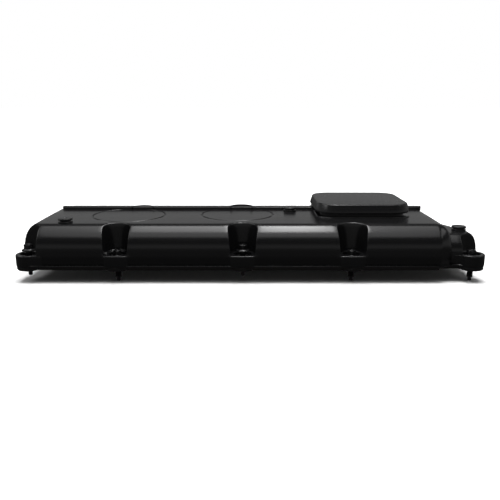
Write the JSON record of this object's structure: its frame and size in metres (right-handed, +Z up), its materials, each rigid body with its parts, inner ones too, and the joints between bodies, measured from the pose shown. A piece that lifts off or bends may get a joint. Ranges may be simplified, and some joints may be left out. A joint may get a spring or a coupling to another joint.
{
  "type": "camshaft cover",
  "caption": "Long moulded camshaft cover with captive flanged screws in open wells, perimeter gasket, crankcase vent under a rounded-square lid, and grooved trim studs.",
  "frame": {"origin": "under the middle of the cover, level with the tips of the screws that are pushed down", "axes": "+X along the cover to the end with the lower deck, +Y from the front row of screws to the rear row, +Z up out of the engine"},
  "size_m": [0.469, 0.173, 0.071],
  "materials": {
    "moulded_nylon": "black glass-filled nylon, moulded, fine satin grain",
    "lid_nylon": "black nylon, moulded, satin grain with smooth edges",
    "stud_nylon": "black nylon, turned-looking moulded studs",
    "gasket_rubber": "black acrylic rubber, matt",
    "valve_rubber": "black fluorosilicone rubber, smooth",
    "natural_acetal": "natural acetal, smooth",
    "spring_steel": "drawn stainless spring wire",
    "zinc_steel": "zinc-plated steel",
    "black_screw_steel": "black zinc-flake coated steel"
  },
  "bodies": {
    "cover": {"cover_shell": "moulded_nylon", "perimeter_gasket": "gasket_rubber", "baffle_plate": "moulded_nylon", "baffle_screws": "zinc_steel", "drain_valve": "valve_rubber", "outlet_seal": "valve_rubber", "vent_lid": "lid_nylon", "vent_diaphragm": "valve_rubber", "vent_spring": "spring_steel", "trim_stud_left": "stud_nylon", "trim_stud_middle": "stud_nylon", "trim_stud_right": "stud_nylon", "screw_sleeves": "zinc_steel", "screw_grommets": "gasket_rubber", "screw_retainers": "gasket_rubber"},
    "vent_valve": {"vent_valve_plate": "natural_acetal"},
    "front_screw_1": {"screw_front_1": "black_screw_steel"},
    "front_screw_2": {"screw_front_2": "black_screw_steel"},
    "front_screw_3": {"screw_front_3": "black_screw_steel"},
    "front_screw_4": {"screw_front_4": "black_screw_steel"},
    "front_screw_5": {"screw_front_5": "black_screw_steel"},
    "rear_screw_1": {"screw_rear_1": "black_screw_steel"},
    "rear_screw_2": {"screw_rear_2": "black_screw_steel"},
    "rear_screw_3": {"screw_rear_3": "black_screw_steel"},
    "rear_screw_4": {"screw_rear_4": "black_screw_steel"},
    "rear_screw_5": {"screw_rear_5": "black_screw_steel"}
  },
  "joints": [
    {"name": "front_screw_1_float", "type": "slide", "parent": "cover", "child": "front_screw_1", "axis": [0, 0, 1], "range_m": [-0.006, 0.001]},
    {"name": "front_screw_2_float", "type": "slide", "parent": "cover", "child": "front_screw_2", "axis": [0, 0, 1], "range_m": [0, 0.007]},
    {"name": "front_screw_3_float", "type": "slide", "parent": "cover", "child": "front_screw_3", "axis": [0, 0, 1], "range_m": [-0.0055, 0.0015]},
    {"name": "front_screw_4_float", "type": "slide", "parent": "cover", "child": "front_screw_4", "axis": [0, 0, 1], "range_m": [0, 0.007]},
    {"name": "front_screw_5_float", "type": "slide", "parent": "cover", "child": "front_screw_5", "axis": [0, 0, 1], "range_m": [0, 0.007]},
    {"name": "rear_screw_1_float", "type": "slide", "parent": "cover", "child": "rear_screw_1", "axis": [0, 0, 1], "range_m": [0, 0.007]},
    {"name": "rear_screw_2_float", "type": "slide", "parent": "cover", "child": "rear_screw_2", "axis": [0, 0, 1], "range_m": [0, 0.007]},
    {"name": "rear_screw_3_float", "type": "slide", "parent": "cover", "child": "rear_screw_3", "axis": [0, 0, 1], "range_m": [0, 0.007]},
    {"name": "rear_screw_4_float", "type": "slide", "parent": "cover", "child": "rear_screw_4", "axis": [0, 0, 1], "range_m": [0, 0.007]},
    {"name": "rear_screw_5_float", "type": "slide", "parent": "cover", "child": "rear_screw_5", "axis": [0, 0, 1], "range_m": [0, 0.007]},
    {"name": "vent_valve_travel", "type": "slide", "parent": "cover", "child": "vent_valve", "axis": [0, 0, 1], "range_m": [-0.004, 0], "stiffness_N_per_m": 160, "springref_m": 0.003, "deforming": ["vent_spring", "vent_diaphragm"]}
  ]
}
